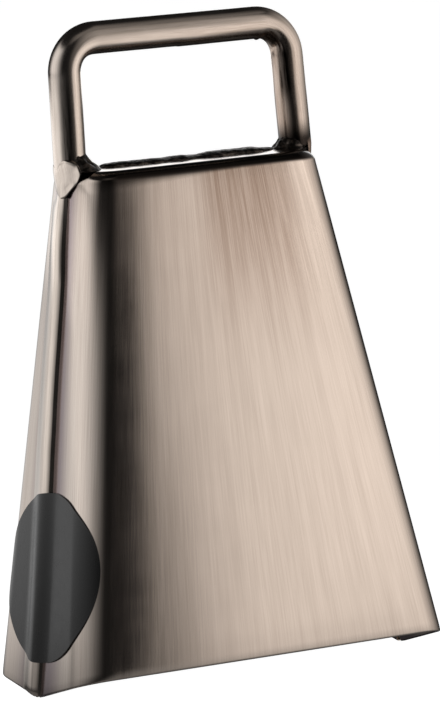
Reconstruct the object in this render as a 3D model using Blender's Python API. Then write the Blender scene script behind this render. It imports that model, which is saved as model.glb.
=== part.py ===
"""Hand cowbell: two folded sheet-steel half shells welded edge to edge, with a bent rod handle."""

import math

import bmesh
import bpy

MM = 0.001

# Bell body, outside sizes between the sharp corners of its outline
BODY_HEIGHT = 121.0 * MM  # from the lip of the flat faces to the top
MOUTH_WIDTH = 103.0 * MM
MOUTH_DEPTH = 48.0 * MM
TOP_WIDTH = 64.0 * MM
TOP_DEPTH = 25.5 * MM
LIP_DROP = 5.0 * MM  # the mouth edge falls this far from the faces to the side seams
SIDE_CROWN = math.radians(24)  # how far the narrow sides turn between seam and bend, at the top

# Folded sheet
SHEET = 1.6 * MM
SIDE_BEND_INSIDE = 5.9 * MM
TOP_BEND_INSIDE = 1.6 * MM
SEAM_GAP = 1.2 * MM  # between the edges of the two half shells, filled by the weld roots

# Welds
BEAD_WIDTH_MOUTH = 5.8 * MM  # side seams, ground smooth
BEAD_WIDTH_TOP = 4.6 * MM
BEAD_HEIGHT = 1.35 * MM
TOP_BEAD_WIDTH = 5.0 * MM  # top seam, left rough
TOP_BEAD_HEIGHT = 1.2 * MM
TOP_BEAD_END_SHARE = 0.8  # part of its section that runs out at the two ends
TOP_BEAD_END_POWER = 6  # and how late along the bead it does so
RIPPLE_PITCH = 5.2 * MM
SWELL_PITCH = 14.0 * MM
RIPPLE_HEIGHT_SHARE = 0.2  # part of the rough bead's height that ripples and swells take
RIPPLE_WIDTH_SHARE = 0.08  # and of its width
TOE_LENGTH = 7.4 * MM  # ground weld under each handle leg, down the outside of the seam
TOE_NOSE = 6.0 * MM  # rounded end of that weld
LEFT_MOUND_REACH = 4.0 * MM  # rough weld mound at each leg, inwards along the top
LEFT_MOUND_HEIGHT = 4.6 * MM
RIGHT_MOUND_REACH = 2.6 * MM
RIGHT_MOUND_HEIGHT = 3.4 * MM
MOUND_SPREAD = 2.8 * MM  # the same mounds, to the front and the back of the leg
LUMP_SHARE = 0.06  # part of a mound's size that its lumps take
LUMPS_AROUND = 5

# Handle
ROD_DIAMETER = 8.0 * MM
LEG_SET_IN = 0.35 * MM  # from the sharp corner of the bell's top to a leg's centreline
LEG_LEAN_IN = 0.65 * MM  # how far each leg leans in between its foot and the bar
HANDLE_RISE = 31.5 * MM  # from the bell's top to the bar's centreline
HANDLE_BEND = 8.6 * MM  # centreline radius of the two corners

# Round label on the left side
LABEL_DIAMETER = 40.6 * MM
LABEL_CENTRE = 24.0 * MM  # above the lip of the faces
LABEL_OFFSET = 2.0 * MM  # from the seam towards the front
LABEL_THICKNESS = 0.25 * MM
LABEL_DRAPE_SHARE = 0.9  # half width of the rise over the seam bead, in widths of that bead

# Gap kept between neighbouring pieces
FIT = 0.3 * MM

# Fineness of the curves
MERGE_DISTANCE = 0.001 * MM
SHARP_ANGLE = math.radians(35)
FLANGE_STEPS = 4
BEND_STEPS = 10
WALL_STEPS = 8
SEAM_STEPS = 12
CROWN_STEPS = 10
ROD_SIDES = 28
MOUND_SIDES = 28
MOUND_RINGS = 16
TOP_BEAD_STATIONS = 41
LABEL_COLUMNS = 64
LABEL_ROWS = 6

SIDE_BEND = SIDE_BEND_INSIDE + SHEET
TOP_BEND = TOP_BEND_INSIDE + SHEET
TOP_Z = LIP_DROP + BODY_HEIGHT
BAR_Z = TOP_Z + HANDLE_RISE
ROD_RADIUS = ROD_DIAMETER / 2
LEG_FOOT_X = TOP_WIDTH / 2 - LEG_SET_IN
LEG_BAR_X = LEG_FOOT_X - LEG_LEAN_IN
LEG_LEAN = LEG_LEAN_IN / HANDLE_RISE  # outwards, for each unit of fall

LEFT, RIGHT = -1, 1


# Shared tools

def clear_scene():
    for thing in list(bpy.data.objects):
        bpy.data.objects.remove(thing, do_unlink=True)


def finish(name, colour, roughness, metallic):
    """One Principled material, with its colour given in linear light."""
    material = bpy.data.materials.new(name)
    material.use_nodes = True
    shader = material.node_tree.nodes["Principled BSDF"]
    shader.inputs["Base Color"].default_value = (*colour, 1.0)
    shader.inputs["Roughness"].default_value = roughness
    shader.inputs["Metallic"].default_value = metallic
    return material


def skin_rows(bm, rows):
    """Faces between rows of points that all have the same length; returns the rows of vertices."""
    rows = [[bm.verts.new(point) for point in row] for row in rows]
    for low, high in zip(rows, rows[1:]):
        for i in range(len(low) - 1):
            bm.faces.new((low[i], low[i + 1], high[i + 1], high[i]))
    return rows


def skin_rings(bm, rings):
    """Tube through closed rings of points, with its two ends filled."""
    rings = skin_rows(bm, [ring + ring[:1] for ring in rings])
    bm.faces.new(rings[0][:-1])
    bm.faces.new(rings[-1][:-1])


def close_sheet(bm, outer, inner):
    """Rim faces that join the matching edges of an outer and an inner skin."""
    for i in range(len(outer)):
        j = (i + 1) % len(outer)
        bm.faces.new((outer[i], outer[j], inner[j], inner[i]))


def rim(rows):
    """Border of a grid of vertices, once round."""
    left = [row[0] for row in rows]
    right = [row[-1] for row in reversed(rows)]
    return left + rows[-1][1:-1] + right + rows[0][-2:0:-1]


def mesh_from(bm, name):
    bmesh.ops.remove_doubles(bm, verts=bm.verts, dist=MERGE_DISTANCE)
    bmesh.ops.recalc_face_normals(bm, faces=bm.faces)
    mesh = bpy.data.meshes.new(name)
    bm.to_mesh(mesh)
    bm.free()
    mesh.shade_smooth()
    mesh.set_sharp_from_angle(angle=SHARP_ANGLE)
    return mesh


def add_object(name, mesh, material):
    piece = bpy.data.objects.new(name, mesh)
    bpy.context.scene.collection.objects.link(piece)
    if material is not None and not mesh.materials:
        mesh.materials.append(material)
    return piece


def add_cutter(name, mesh):
    cutter = add_object(name, mesh, None)
    cutter.hide_render = True
    cutter.display_type = "WIRE"
    return cutter


def cut(piece, *cutters):
    for cutter in cutters:
        boolean = piece.modifiers.new("clear_of_" + cutter.name, "BOOLEAN")
        boolean.operation = "DIFFERENCE"
        boolean.solver = "EXACT"
        boolean.object = cutter


# Bell body

def half_size(z):
    """Half width and half depth of the outside at height z, at its sharp corners."""
    share = (z - LIP_DROP) / BODY_HEIGHT
    width = MOUTH_WIDTH + (TOP_WIDTH - MOUTH_WIDTH) * share
    depth = MOUTH_DEPTH + (TOP_DEPTH - MOUTH_DEPTH) * share
    return width / 2, depth / 2


def side_crown(z):
    """Turn of a flange between seam and bend: flat at the mouth, most crowned at the top."""
    return SIDE_CROWN * (z / TOP_Z) ** 2


def side_reach(z, run, inset):
    """Point of a narrow side at height z, a distance along it from the seam, as (out, forward)."""
    half_width, half_depth = half_size(z)
    crown = side_crown(z)
    radius = SIDE_BEND - inset
    centre_x = half_width - SIDE_BEND
    centre_y = half_depth - SIDE_BEND
    flange = centre_y + radius * math.sin(crown)
    if run < flange:
        rise = flange * math.tan(crown) / 2 * (1 - (run / flange) ** 2)
        return centre_x + radius * math.cos(crown) + rise, run
    angle = crown + (run - flange) / radius
    past_bend = max(angle - math.pi / 2, 0.0) * radius
    angle = min(angle, math.pi / 2)
    return centre_x + radius * math.cos(angle) - past_bend, centre_y + radius * math.sin(angle)


def front_outline(z, inset):
    """Front half of the body's outline at height z, from the left seam round to the right one."""
    crown = side_crown(z)
    radius = SIDE_BEND - inset
    flange = half_size(z)[1] - SIDE_BEND + radius * math.sin(crown)
    bend = radius * (math.pi / 2 - crown)
    seam = SEAM_GAP / 2
    runs = [seam + (flange - seam) * step / FLANGE_STEPS for step in range(FLANGE_STEPS)]
    runs += [flange + bend * step / BEND_STEPS for step in range(BEND_STEPS + 1)]
    points = [side_reach(z, run, inset) for run in runs]
    left = [(-out, -forward) for out, forward in points]
    return left + [(-x, y) for x, y in reversed(left)]


def mouth_row(inset):
    """Mouth edge, level along the face and falling along the flanges to the seams."""
    half_depth = half_size(LIP_DROP)[1] - inset
    row = []
    for i, (_, y) in enumerate(front_outline(LIP_DROP, inset)):
        z = LIP_DROP * abs(y) / half_depth
        row.append((*front_outline(z, inset)[i], z))
    return row


def shell_rows(bend_radius):
    """Rows of one skin of the half shell: the mouth, up the wall and round the top bend."""
    wall_inset = TOP_BEND - bend_radius
    rows = [mouth_row(wall_inset)]
    for step in range(1, WALL_STEPS):
        z = LIP_DROP + (TOP_Z - TOP_BEND - LIP_DROP) * step / WALL_STEPS
        rows.append([(x, y, z) for x, y in front_outline(z, wall_inset)])
    for step in range(BEND_STEPS + 1):
        angle = math.pi / 2 * step / BEND_STEPS
        inset = TOP_BEND - bend_radius * math.cos(angle)
        z = TOP_Z - TOP_BEND + bend_radius * math.sin(angle)
        rows.append([(x, y, z) for x, y in front_outline(z, inset)])
    return rows


def half_shell_mesh():
    """Folded half shell: face, two side flanges and a top flange, of one thickness."""
    bm = bmesh.new()
    rims = []
    for bend_radius in (TOP_BEND, TOP_BEND_INSIDE):
        rows = skin_rows(bm, shell_rows(bend_radius))
        bm.faces.new(rows[-1])
        rims.append([row[0] for row in rows] + [row[-1] for row in reversed(rows)] + rows[0][-2:0:-1])
    close_sheet(bm, *rims)
    return mesh_from(bm, "half_shell")


def add_shells(steel):
    """Both halves are the same folded piece, set back to back."""
    mesh = half_shell_mesh()
    add_object("front_shell", mesh, steel)
    add_object("back_shell", mesh, steel).rotation_euler.z = math.pi


def body_clearance():
    """Cutter: the whole body's outside above the lip, grown by the fit."""
    lip_row = [(x, y, LIP_DROP) for x, y in front_outline(LIP_DROP, -FIT)]
    rings = []
    for row in [lip_row] + shell_rows(TOP_BEND + FIT)[1:]:
        rings.append(row + [(-x, -y, z) for x, y, z in row])
    bm = bmesh.new()
    skin_rings(bm, rings)
    return add_cutter("body_clearance", mesh_from(bm, "body_clearance"))


# Seam welds

def side_bead_width(z):
    """Width of the side beads, growing from the top to the mouth."""
    return BEAD_WIDTH_MOUTH + (BEAD_WIDTH_TOP - BEAD_WIDTH_MOUTH) * z / TOP_Z


def bead_outline(width, height):
    """Bead across its seam, as (across, out): a root between the sheet edges under a half oval."""
    root = SEAM_GAP / 2 - FIT
    crown = []
    for step in range(CROWN_STEPS + 1):
        angle = math.pi * step / CROWN_STEPS
        crown.append((-width / 2 * math.cos(angle), FIT + (height - FIT) * math.sin(angle)))
    return [(-root, -SHEET), (-root, FIT)] + crown + [(root, FIT), (root, -SHEET)]


def add_side_seam(name, side, steel):
    """Ground bead that closes one narrow side, from the mouth to the weld under the handle leg."""
    bm = bmesh.new()
    rings = []
    for step in range(SEAM_STEPS + 1):
        z = (TOP_Z - TOE_LENGTH - FIT) * step / SEAM_STEPS
        seam_x = side_reach(z, 0.0, 0.0)[0]
        outline = bead_outline(side_bead_width(z), BEAD_HEIGHT)
        rings.append([(side * (seam_x + out), across, z) for across, out in outline])
    skin_rings(bm, rings)
    add_object(name, mesh_from(bm, name), steel)


def add_top_seam(name, steel):
    """Rough bead along the middle of the top, between the mounds at the handle legs."""
    leg_side = LEG_FOOT_X - ROD_RADIUS - 2 * FIT
    start_x = LEFT_MOUND_REACH - leg_side
    end_x = leg_side - RIGHT_MOUND_REACH
    bm = bmesh.new()
    rings = []
    for station in range(TOP_BEAD_STATIONS):
        share = 2 * station / (TOP_BEAD_STATIONS - 1) - 1
        x = (start_x + end_x) / 2 + (end_x - start_x) / 2 * share
        ripple = (math.sin(2 * math.pi * x / RIPPLE_PITCH) + math.sin(2 * math.pi * x / SWELL_PITCH)) / 2
        end_taper = math.sqrt(1 - TOP_BEAD_END_SHARE * share ** TOP_BEAD_END_POWER)
        height = TOP_BEAD_HEIGHT * (1 - RIPPLE_HEIGHT_SHARE * (1 - ripple)) * end_taper
        width = TOP_BEAD_WIDTH * (1 + RIPPLE_WIDTH_SHARE * ripple) * end_taper
        rings.append([(x, across, TOP_Z + out) for across, out in bead_outline(width, height)])
    skin_rings(bm, rings)
    add_object(name, mesh_from(bm, name), steel)


# Handle

def handle_path():
    """Rod centreline from the left foot to the right one, as (x, z, heading)."""
    lean = math.atan(LEG_LEAN)
    heading = math.pi / 2 - lean
    setback = HANDLE_BEND * math.tan(heading / 2)
    start_x = -LEG_BAR_X - setback * math.cos(heading)
    start_z = BAR_Z - setback * math.sin(heading)
    centre_x = start_x + HANDLE_BEND * math.sin(heading)
    centre_z = start_z - HANDLE_BEND * math.cos(heading)
    path = [(-LEG_FOOT_X, TOP_Z, heading)]
    for step in range(BEND_STEPS + 1):
        turn = heading * (1 - step / BEND_STEPS)
        bend_x = centre_x - HANDLE_BEND * math.sin(turn)
        bend_z = centre_z + HANDLE_BEND * math.cos(turn)
        path.append((bend_x, bend_z, turn))
    return path + [(-x, z, -turn) for x, z, turn in reversed(path)]


def rod_ring(x, z, heading, radius):
    """Circle of points square to the rod's centreline."""
    ring = []
    for side in range(ROD_SIDES):
        angle = 2 * math.pi * side / ROD_SIDES
        rise = radius * math.cos(angle)
        ring.append((x - rise * math.sin(heading), radius * math.sin(angle), z + rise * math.cos(heading)))
    return ring


def swept_rod(radius, foot_z, name):
    """Rod along the handle's centreline, with both feet cut level at foot_z."""
    rings = [rod_ring(x, z, heading, radius) for x, z, heading in handle_path()]
    for ring in (rings[0], rings[-1]):
        for i, (x, y, z) in enumerate(ring):
            side = math.copysign(1, x)
            ring[i] = (x + side * LEG_LEAN * (z - foot_z), y, foot_z)
    bm = bmesh.new()
    skin_rings(bm, rings)
    return mesh_from(bm, name)


def add_handle(name, steel):
    add_object(name, swept_rod(ROD_RADIUS, TOP_Z + FIT, name), steel)


def rod_clearance():
    """Cutter: the handle grown by the fit, with legs long enough to pass through their welds."""
    mesh = swept_rod(ROD_RADIUS + FIT, TOP_Z - TOE_LENGTH - 2 * FIT, "rod_clearance")
    return add_cutter("rod_clearance", mesh)


# Handle welds

def add_toe_weld(name, side, steel, body):
    """Weld that fills under the leg's overhang, ground flush with the rod and rounded off below."""
    rings = []
    nose_start = TOE_LENGTH - TOE_NOSE
    falls = [0.0] + [nose_start + TOE_NOSE * math.sin(math.pi / 2 * step / BEND_STEPS)
                     for step in range(BEND_STEPS)]
    for fall in falls:
        nose_share = max(fall - nose_start, 0.0) / TOE_NOSE
        radius = ROD_RADIUS * math.sqrt(1 - nose_share ** 2)
        centre_x = side * (LEG_FOOT_X + LEG_LEAN * fall)
        rings.append(rod_ring(centre_x, TOP_Z - fall, math.pi / 2, radius))
    bm = bmesh.new()
    skin_rings(bm, rings)
    cut(add_object(name, mesh_from(bm, name), steel), body)


def add_leg_weld(name, side, mound, steel, cutters):
    """Rough mound of weld round the inner side of a leg's foot, with a lumpy surface."""
    reach, height = mound
    half_length = ROD_RADIUS + reach / 2 - FIT
    half_spread = ROD_RADIUS + MOUND_SPREAD
    centre_x = side * (LEG_FOOT_X - ROD_RADIUS - reach + half_length)
    bm = bmesh.new()
    bmesh.ops.create_uvsphere(bm, u_segments=MOUND_SIDES, v_segments=MOUND_RINGS, radius=1.0)
    for vert in bm.verts:
        around = math.atan2(vert.co.y, vert.co.x)
        lump = 1 - LUMP_SHARE + LUMP_SHARE * math.sin(LUMPS_AROUND * around + side) * (1 - vert.co.z ** 2)
        vert.co.x = centre_x + half_length * lump * vert.co.x
        vert.co.y = half_spread * lump * vert.co.y
        vert.co.z = TOP_Z + height * lump * vert.co.z
    cut(add_object(name, mesh_from(bm, name), steel), *cutters)


# Label

def side_point(along, z, lift):
    """Point over the left side, a distance along its outline from the seam (front positive)."""
    out, forward = side_reach(z, abs(along), -lift)
    drape = LABEL_DRAPE_SHARE * side_bead_width(z)
    out += BEAD_HEIGHT * math.cos(math.pi / 2 * min(abs(along) / drape, 1.0)) ** 2
    return -out, -math.copysign(forward, along), z


def add_label(name, vinyl):
    """Thin round label, wrapped over the side seam and on round both side bends."""
    bm = bmesh.new()
    rims = []
    for lift in (FIT + LABEL_THICKNESS, FIT):
        rows = []
        for column in range(LABEL_COLUMNS + 1):
            angle = math.pi * (0.5 + column) / (LABEL_COLUMNS + 1)
            along = LABEL_OFFSET - LABEL_DIAMETER / 2 * math.cos(angle)
            half_chord = LABEL_DIAMETER / 2 * math.sin(angle)
            heights = [half_chord * (2 * row / LABEL_ROWS - 1) for row in range(LABEL_ROWS + 1)]
            rows.append([side_point(along, LIP_DROP + LABEL_CENTRE + height, lift) for height in heights])
        rims.append(rim(skin_rows(bm, rows)))
    close_sheet(bm, *rims)
    add_object(name, mesh_from(bm, name), vinyl)


clear_scene()
brushed_steel = finish("brushed_steel", (0.52, 0.47, 0.43), 0.32, 1.0)
ground_weld = finish("ground_weld", (0.50, 0.46, 0.42), 0.30, 1.0)
raw_weld = finish("raw_weld", (0.07, 0.065, 0.06), 0.55, 1.0)
black_vinyl = finish("black_vinyl", (0.012, 0.012, 0.013), 0.35, 0.0)

body_cutter = body_clearance()
rod_cutter = rod_clearance()
add_shells(brushed_steel)
add_top_seam("top_seam_weld", raw_weld)
add_handle("handle_rod", brushed_steel)
for side_name, direction in (("left", LEFT), ("right", RIGHT)):
    add_side_seam(side_name + "_seam_weld", direction, ground_weld)
    add_toe_weld(side_name + "_toe_weld", direction, ground_weld, body_cutter)
left_mound = (LEFT_MOUND_REACH, LEFT_MOUND_HEIGHT)
right_mound = (RIGHT_MOUND_REACH, RIGHT_MOUND_HEIGHT)
add_leg_weld("left_leg_weld", LEFT, left_mound, raw_weld, (body_cutter, rod_cutter))
add_leg_weld("right_leg_weld", RIGHT, right_mound, raw_weld, (body_cutter, rod_cutter))
add_label("side_label", black_vinyl)
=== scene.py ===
"""Looks of the hand cowbell: brushed folded steel, ground and rough welds, a bent rod and a film label."""

import math

import bmesh
import bpy
from mathutils import Matrix, Vector, noise


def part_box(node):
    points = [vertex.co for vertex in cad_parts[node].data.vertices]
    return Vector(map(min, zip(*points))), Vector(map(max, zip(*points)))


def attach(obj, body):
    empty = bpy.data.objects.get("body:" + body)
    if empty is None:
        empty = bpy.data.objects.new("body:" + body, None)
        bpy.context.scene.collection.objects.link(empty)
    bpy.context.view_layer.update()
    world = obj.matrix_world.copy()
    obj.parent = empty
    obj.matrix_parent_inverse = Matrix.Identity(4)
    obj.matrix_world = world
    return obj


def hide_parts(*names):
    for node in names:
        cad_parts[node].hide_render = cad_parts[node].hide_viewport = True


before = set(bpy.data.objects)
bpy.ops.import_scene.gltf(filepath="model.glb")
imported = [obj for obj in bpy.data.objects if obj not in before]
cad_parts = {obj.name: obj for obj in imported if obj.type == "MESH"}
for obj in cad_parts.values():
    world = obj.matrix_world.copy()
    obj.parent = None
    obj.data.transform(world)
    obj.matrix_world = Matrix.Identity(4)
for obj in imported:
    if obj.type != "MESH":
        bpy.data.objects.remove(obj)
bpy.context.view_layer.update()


# Half shells
# Two like pieces of 1.6 mm steel sheet, folded on a press brake into a tapered face, two side flanges and
# a top flange, and belt-brushed from mouth to top. Their upper part is a darker brown, most on the front face
# right of its middle. A black band painted along the top bend stands for its dark reflection of the room
# above, and a mauve heat tint beside the side seams is deepened into painted shade next to the seam bead.

MM = 0.001
shell_low, shell_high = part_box("front_shell")
TOP_Z = shell_high.z
LIP_Z = 5.0 * MM  # height of the mouth edge along the faces; it falls to zero at the side seams
MOUTH_HALF_WIDTH = 51.5 * MM
MOUTH_HALF_DEPTH = -shell_low.y
TOP_HALF_WIDTH = 32.0 * MM
TOP_HALF_DEPTH = 12.75 * MM
SHEET = 1.6 * MM
SIDE_BEND = 7.5 * MM  # outside radius between face and flange
TOP_BEND = 3.2 * MM  # outside radius between face and top flange
SEAM_HALF_GAP = -shell_high.y
TOP_FALL = 0.05  # slope of each top flange, down from the seam to its bend
SIDE_CROWN = math.radians(24)  # turn of a flange between seam and bend, at the top
FACE_EASE = math.radians(5)  # turn that a bend leaves in the face beside it
FACE_EASE_WIDTH = 14.0 * MM
FACE_EASE_RISE = 8.0 * MM  # height above the lip over which that ease comes in
FACE_BULGE = FACE_EASE_WIDTH * math.tan(FACE_EASE) / 3
SEAM_STEP = 0.65 * MM  # how far one flange of each half sits below its neighbour at the seam
SEAM_STEP_AT_MOUTH = 0.4  # share of that step at the mouth
SEAM_STEP_RISE = 25.0 * MM  # height over which it grows to the whole
EDGE_ROLL_HEIGHT = 2.4 * MM  # the mouth edge was eased over on the belt
EDGE_ROLL_DEPTH = 0.25 * MM
FLANGE_EDGE_ROLL = 0.15  # share of that depth on the flanges
EDGE_ROUND = 0.35 * MM  # rounding of its two arrises
FACE_COLUMNS, BEND_COLUMNS, FLANGE_COLUMNS = 60, 20, 8
WALL_ROWS, BEND_ROWS, EDGE_ROWS = 44, 12, 8
GRAIN_SHIFT = 320.0  # millimetres from the front sheet's grain to the back one's, so that they differ
NOISE_LOW, NOISE_HIGH = 0.3, 0.7  # range that most of a noise lies in
BROAD_STREAK = (7.0, 3.0)  # width and length of the broad streaks, in fine ones
BLOTCH = (40.0, 0.6)  # width and length of the blotches in the gloss, in fine streaks
GLOSS_SPREAD = 0.03  # how far the roughness changes either way
BRUSHED_ANISOTROPY = 0.3
# Mark colours: brown, as heat colour on the right leg and as a plain darker brown over the sheets' upper
# part; black, as real weld scale at the right foot, as painted dark reflection along the top bend and as
# painted shade in the left toe's open line; and a mauve heat tint deepened into painted shade beside the seam
# beads.
BROWN_TONE, SCALE_AND_PAINTED_SHADE_BLACK, SEAM_TINT_AND_PAINTED_SHADE = "#c3b6ae", "#2b2623", "#aaa5b1"
PATCH_STREAKS = (0.62, 0.38, 0.68)  # noise where a patch is thin, where it is full, and its share where thin
PAINTED_BAND_FADE = (10.0, 0.15)  # millimetres over which the thinning painted black band fades out, and the share that is left


def half_size(z):
    """Half width and half depth of the bell's outside at a height, at its sharp corners."""
    share = (z - LIP_Z) / (TOP_Z - LIP_Z)
    half_width = MOUTH_HALF_WIDTH + (TOP_HALF_WIDTH - MOUTH_HALF_WIDTH) * share
    half_depth = MOUTH_HALF_DEPTH + (TOP_HALF_DEPTH - MOUTH_HALF_DEPTH) * share
    return half_width, half_depth


def side_crown(z):
    """Turn of a flange between seam and bend: flat at the mouth, most crowned at the top."""
    return SIDE_CROWN * (z / TOP_Z) ** 2


def flange_reach(z, inset):
    """Distance from the seam to the start of the side bend, at a height and a depth into the sheet."""
    return half_size(z)[1] - SIDE_BEND + (SIDE_BEND - inset) * math.sin(side_crown(z))


def flange_x(y, z, inset):
    """Distance of a side flange from the bell's middle, at a distance from the seam line."""
    flange, crown = flange_reach(z, inset), side_crown(z)
    rise = flange * math.tan(crown) / 2 * (1 - (y / flange) ** 2)
    return half_size(z)[0] - SIDE_BEND + (SIDE_BEND - inset) * math.cos(crown) + rise


def ease(value):
    """Smooth step from 0 to 1."""
    share = min(max(value, 0.0), 1.0)
    return share * share * (3 - 2 * share)


def seam_step(y, z):
    """Drop of the lower flange beside the seam: slight at the mouth, and gone at the side bend."""
    grown = SEAM_STEP_AT_MOUTH + (1 - SEAM_STEP_AT_MOUTH) * ease(z / SEAM_STEP_RISE)
    return SEAM_STEP * grown * max(1 - y / flange_reach(z, 0.0), 0.0)


def shell_point(place, z, inset):
    """Point of the front half shell at a height and a depth into the sheet. The place runs from the left
    seam at -3, over the flange to the bend at -2, the face at -1 to 1, and on to the right seam at 3."""
    half_width, half_depth = half_size(z)
    crown = side_crown(z)
    radius = SIDE_BEND - inset
    centre_x = half_width - SIDE_BEND
    centre_y = half_depth - SIDE_BEND
    step = abs(place)
    if step <= 1:
        half_face = centre_x + radius * math.sin(FACE_EASE)
        flatness = min(half_face * (1 - step) / FACE_EASE_WIDTH, 1.0)
        bulge = FACE_BULGE * ease((z - LIP_Z) / FACE_EASE_RISE)
        x = half_face * step
        y = centre_y + radius * math.cos(FACE_EASE) + bulge * (1 - (1 - flatness) ** 3)
    elif step <= 2:
        angle = crown + (2 - step) * (math.pi / 2 - FACE_EASE - crown)
        x = centre_x + radius * math.cos(angle)
        y = centre_y + radius * math.sin(angle)
    else:
        y = SEAM_HALF_GAP + (flange_reach(z, inset) - SEAM_HALF_GAP) * (3 - step)
        x = flange_x(y, z, inset)
        if place < 0:
            x -= seam_step(y, z)
    return Vector((math.copysign(x, place), -y, z))


def shares(count):
    """Even steps from 0 to 1."""
    return [step / count for step in range(count + 1)]


def shell_places():
    """Columns of the shell's mesh, closest together round the bends."""
    flange = [-3 + share for share in shares(FLANGE_COLUMNS)[:-1]]
    bend = [-2 + share for share in shares(BEND_COLUMNS)[:-1]]
    face = [-1 + 2 * share for share in shares(FACE_COLUMNS)]
    return flange + bend + face + [-place for place in reversed(flange + bend)]


def shell_profile():
    """Path through the sheet from the outer top down to the mouth and up the inside, as steps of
    (depth into the sheet, rise above the mouth, share of the wall climbed, rise above the wall)."""
    outer_bend = [(TOP_BEND * (1 - math.cos(turn)), 0.0, 1.0, TOP_BEND * math.sin(turn))
                  for turn in (math.pi / 2 * (1 - share) for share in shares(BEND_ROWS))]
    outer_wall = [(0.0, EDGE_ROLL_HEIGHT, 1 - share, 0.0) for share in shares(WALL_ROWS)[1:]]
    outer_roll = [(0.0, EDGE_ROLL_HEIGHT + (EDGE_ROUND - EDGE_ROLL_HEIGHT) * share, 0.0, 0.0)
                  for share in shares(EDGE_ROWS)[1:]]
    quarter = [math.pi / 2 * share for share in shares(EDGE_ROWS // 2)[1:]]
    outer_edge = [(EDGE_ROUND * (1 - math.cos(turn)), EDGE_ROUND * (1 - math.sin(turn)), 0.0, 0.0)
                  for turn in quarter]
    inner_edge = [(SHEET - EDGE_ROUND * (1 - math.sin(turn)), EDGE_ROUND * (1 - math.cos(turn)), 0.0, 0.0)
                  for turn in quarter]
    inner_wall = [(SHEET, EDGE_ROUND, share, 0.0) for share in shares(WALL_ROWS)[1:]]
    inside = TOP_BEND - SHEET
    inner_bend = [(TOP_BEND - inside * math.cos(turn), 0.0, 1.0, inside * math.sin(turn))
                  for turn in (math.pi / 2 * share for share in shares(BEND_ROWS)[1:])]
    return outer_bend + outer_wall + outer_roll + outer_edge + inner_edge + inner_wall + inner_bend


def edge_roll(place, inset, rise, climbed):
    """Further depth of the eased mouth edge: full along the face and slight on the flanges."""
    full = EDGE_ROLL_DEPTH * (1 - (1 - FLANGE_EDGE_ROLL) * ease(abs(place) - 1))
    return full * (1 - rise / EDGE_ROLL_HEIGHT) ** 2 * max(1 - inset / SHEET, 0.0) * (1 - climbed)


def skin(bm, rows, grain, wrap=False):
    """Smooth quads between rows of points. The grain gives each point's place in the surface's own pattern,
    in millimetres across and along; a wrapped skin has one more grain point a row than points."""
    layer = bm.loops.layers.uv.verify()
    verts = [[bm.verts.new(point) for point in row] for row in rows]
    columns = len(rows[0])
    for i in range(len(rows) - 1):
        for j in range(columns if wrap else columns - 1):
            k = (j + 1) % columns
            face = bm.faces.new((verts[i][j], verts[i][k], verts[i + 1][k], verts[i + 1][j]))
            face.smooth = True
            corners = (grain[i][j], grain[i][j + 1], grain[i + 1][j + 1], grain[i + 1][j])
            for loop, place in zip(face.loops, corners):
                loop[layer].uv = place
    return verts


def add_piece(name, bm, material, node, sharp=40):
    """Finished piece from its mesh, riding on the bell in place of its CAD node. Edges over the sharp angle,
    in degrees, stay crisp."""
    bmesh.ops.recalc_face_normals(bm, faces=bm.faces)
    mesh = bpy.data.meshes.new(name)
    bm.to_mesh(mesh)
    bm.free()
    mesh.set_sharp_from_angle(angle=math.radians(sharp))
    mesh.materials.append(material)
    piece = bpy.data.objects.new(name, mesh)
    bpy.context.scene.collection.objects.link(piece)
    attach(piece, "root")
    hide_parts(node)


def linear(colour):
    """Linear RGBA of an sRGB hex colour."""
    channels = [int(colour[i:i + 2], 16) / 255 for i in (1, 3, 5)]
    return (*[c / 12.92 if c <= 0.04045 else ((c + 0.055) / 1.055) ** 2.4 for c in channels], 1.0)


def add_node(tree, kind, options, inputs):
    """One shader node with its settings and its sockets, each given a value or another node's output."""
    made = tree.nodes.new("ShaderNode" + kind)
    for name, value in options.items():
        setattr(made, name, value)
    for name, value in inputs.items():
        if isinstance(value, bpy.types.NodeSocket):
            tree.links.new(value, made.inputs[name])
        else:
            made.inputs[name].default_value = value
    return made


def new_material(name):
    """Fresh Principled material, its node tree and its shader."""
    material = bpy.data.materials.new(name)
    material.use_nodes = True
    return material, material.node_tree, material.node_tree.nodes["Principled BSDF"]


def grain_noise(tree, across, along, detail, roughness=0.5):
    """Noise stretched along the surface's grain, with its spacing given in millimetres."""
    grain = add_node(tree, "UVMap", {}, {})
    scaled = add_node(tree, "Mapping", {}, {"Vector": grain.outputs[0], "Scale": (1 / across, 1 / along, 1)})
    return add_node(tree, "TexNoise", {"noise_dimensions": "2D"}, {
        "Vector": scaled.outputs[0], "Scale": 1.0, "Detail": detail, "Roughness": roughness}).outputs["Fac"]


def faded(tree, amount, ramps):
    """Amount that fades in along smooth ramps, each given as the shader value that it follows, where it
    starts and stops, and the share that is left before its start."""
    for value, start, stop, least in ramps:
        ramp = add_node(tree, "MapRange", {"interpolation_type": "SMOOTHSTEP"}, {
            "Value": value, "From Min": start, "From Max": stop, "To Min": least})
        amount = add_node(tree, "Math", {"operation": "MULTIPLY"}, {
            0: amount, 1: ramp.outputs[0]}).outputs[0]
    return amount


def colour_and_painted_shade_patch(tree, grain, streaks, along, across, beside):
    """Share of a patch of colour, thinned by the streaks. The patches are real heat colour, a plain brown and
    painted dark reflections. Along and across the grain it has a middle, the reach of its full colour and its
    outer reach, and a share of it is left beside that."""
    offset = add_node(tree, "VectorMath", {"operation": "SUBTRACT"}, {0: grain, 1: (across[0], along[0], 0)})
    offset = add_node(tree, "VectorMath", {"operation": "ABSOLUTE"}, {0: offset.outputs[0]})
    offset = add_node(tree, "SeparateXYZ", {}, {0: offset.outputs[0]})
    return faded(tree, 1.0, ((offset.outputs[1], along[2], along[1], 0.0),
                             (offset.outputs[0], across[2], across[1], beside),
                             (streaks, *PATCH_STREAKS)))


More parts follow.
